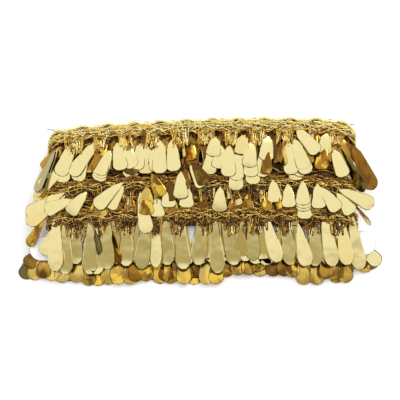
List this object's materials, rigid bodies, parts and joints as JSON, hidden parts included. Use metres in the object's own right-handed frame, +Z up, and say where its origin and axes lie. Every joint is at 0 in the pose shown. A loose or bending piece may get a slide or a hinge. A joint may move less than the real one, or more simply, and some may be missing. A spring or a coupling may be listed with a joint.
{
  "type": "spangle fringe waist trim wound on a card",
  "caption": "Length of gold braid with hanging teardrop spangles, wound in turns on a flat white card with rounded ears and lying flat.",
  "frame": {"origin": "middle of the bounding box, on the surface that the bundle lies on", "axes": "+X along the wound turns, +Y from the hanging spangles up to the card's square end, +Z up from the surface"},
  "size_m": [0.2158, 0.1004, 0.0191],
  "materials": {
    "card_white": "smooth coated white card",
    "thread_gold": "braided metallic gold thread",
    "film_gold": "polished gold metallised film"
  },
  "bodies": {
    "root": {"winding_card": "card_white", "wound_core": "thread_gold", "braid_front_1": "thread_gold", "braid_front_2": "thread_gold", "braid_front_3": "thread_gold", "braid_back_1": "thread_gold", "braid_back_2": "thread_gold", "braid_back_3": "thread_gold", "spangles_front_1": "film_gold", "spangles_front_2": "film_gold", "spangles_front_3": "film_gold", "spangles_back_1": "film_gold", "spangles_back_2": "film_gold", "spangles_back_3": "film_gold"}
  },
  "joints": []
}
